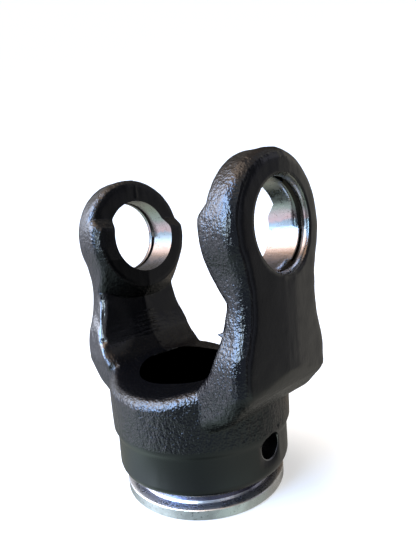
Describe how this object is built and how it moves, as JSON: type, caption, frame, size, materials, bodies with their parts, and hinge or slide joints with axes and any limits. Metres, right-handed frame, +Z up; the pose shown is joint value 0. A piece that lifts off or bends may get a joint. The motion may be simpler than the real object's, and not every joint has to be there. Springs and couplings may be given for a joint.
{
  "type": "tube yoke",
  "caption": "Forged tube yoke of a universal joint: two ears bored for a cross on a turned hub with a three-sided tube socket and a roll pin hole.",
  "frame": {"origin": "centre of the end ring's bottom face, on the hub's axis", "axes": "+Z up the hub's axis towards the ears, X along the axis of the cross bores, Y across the ears"},
  "size_m": [0.0904, 0.0702, 0.1214],
  "materials": {
    "black_paint": "semi-gloss black paint over a forged steel skin",
    "bare_steel": "bored and turned steel, bare"
  },
  "bodies": {
    "root": {"yoke": "black_paint"}
  },
  "joints": []
}
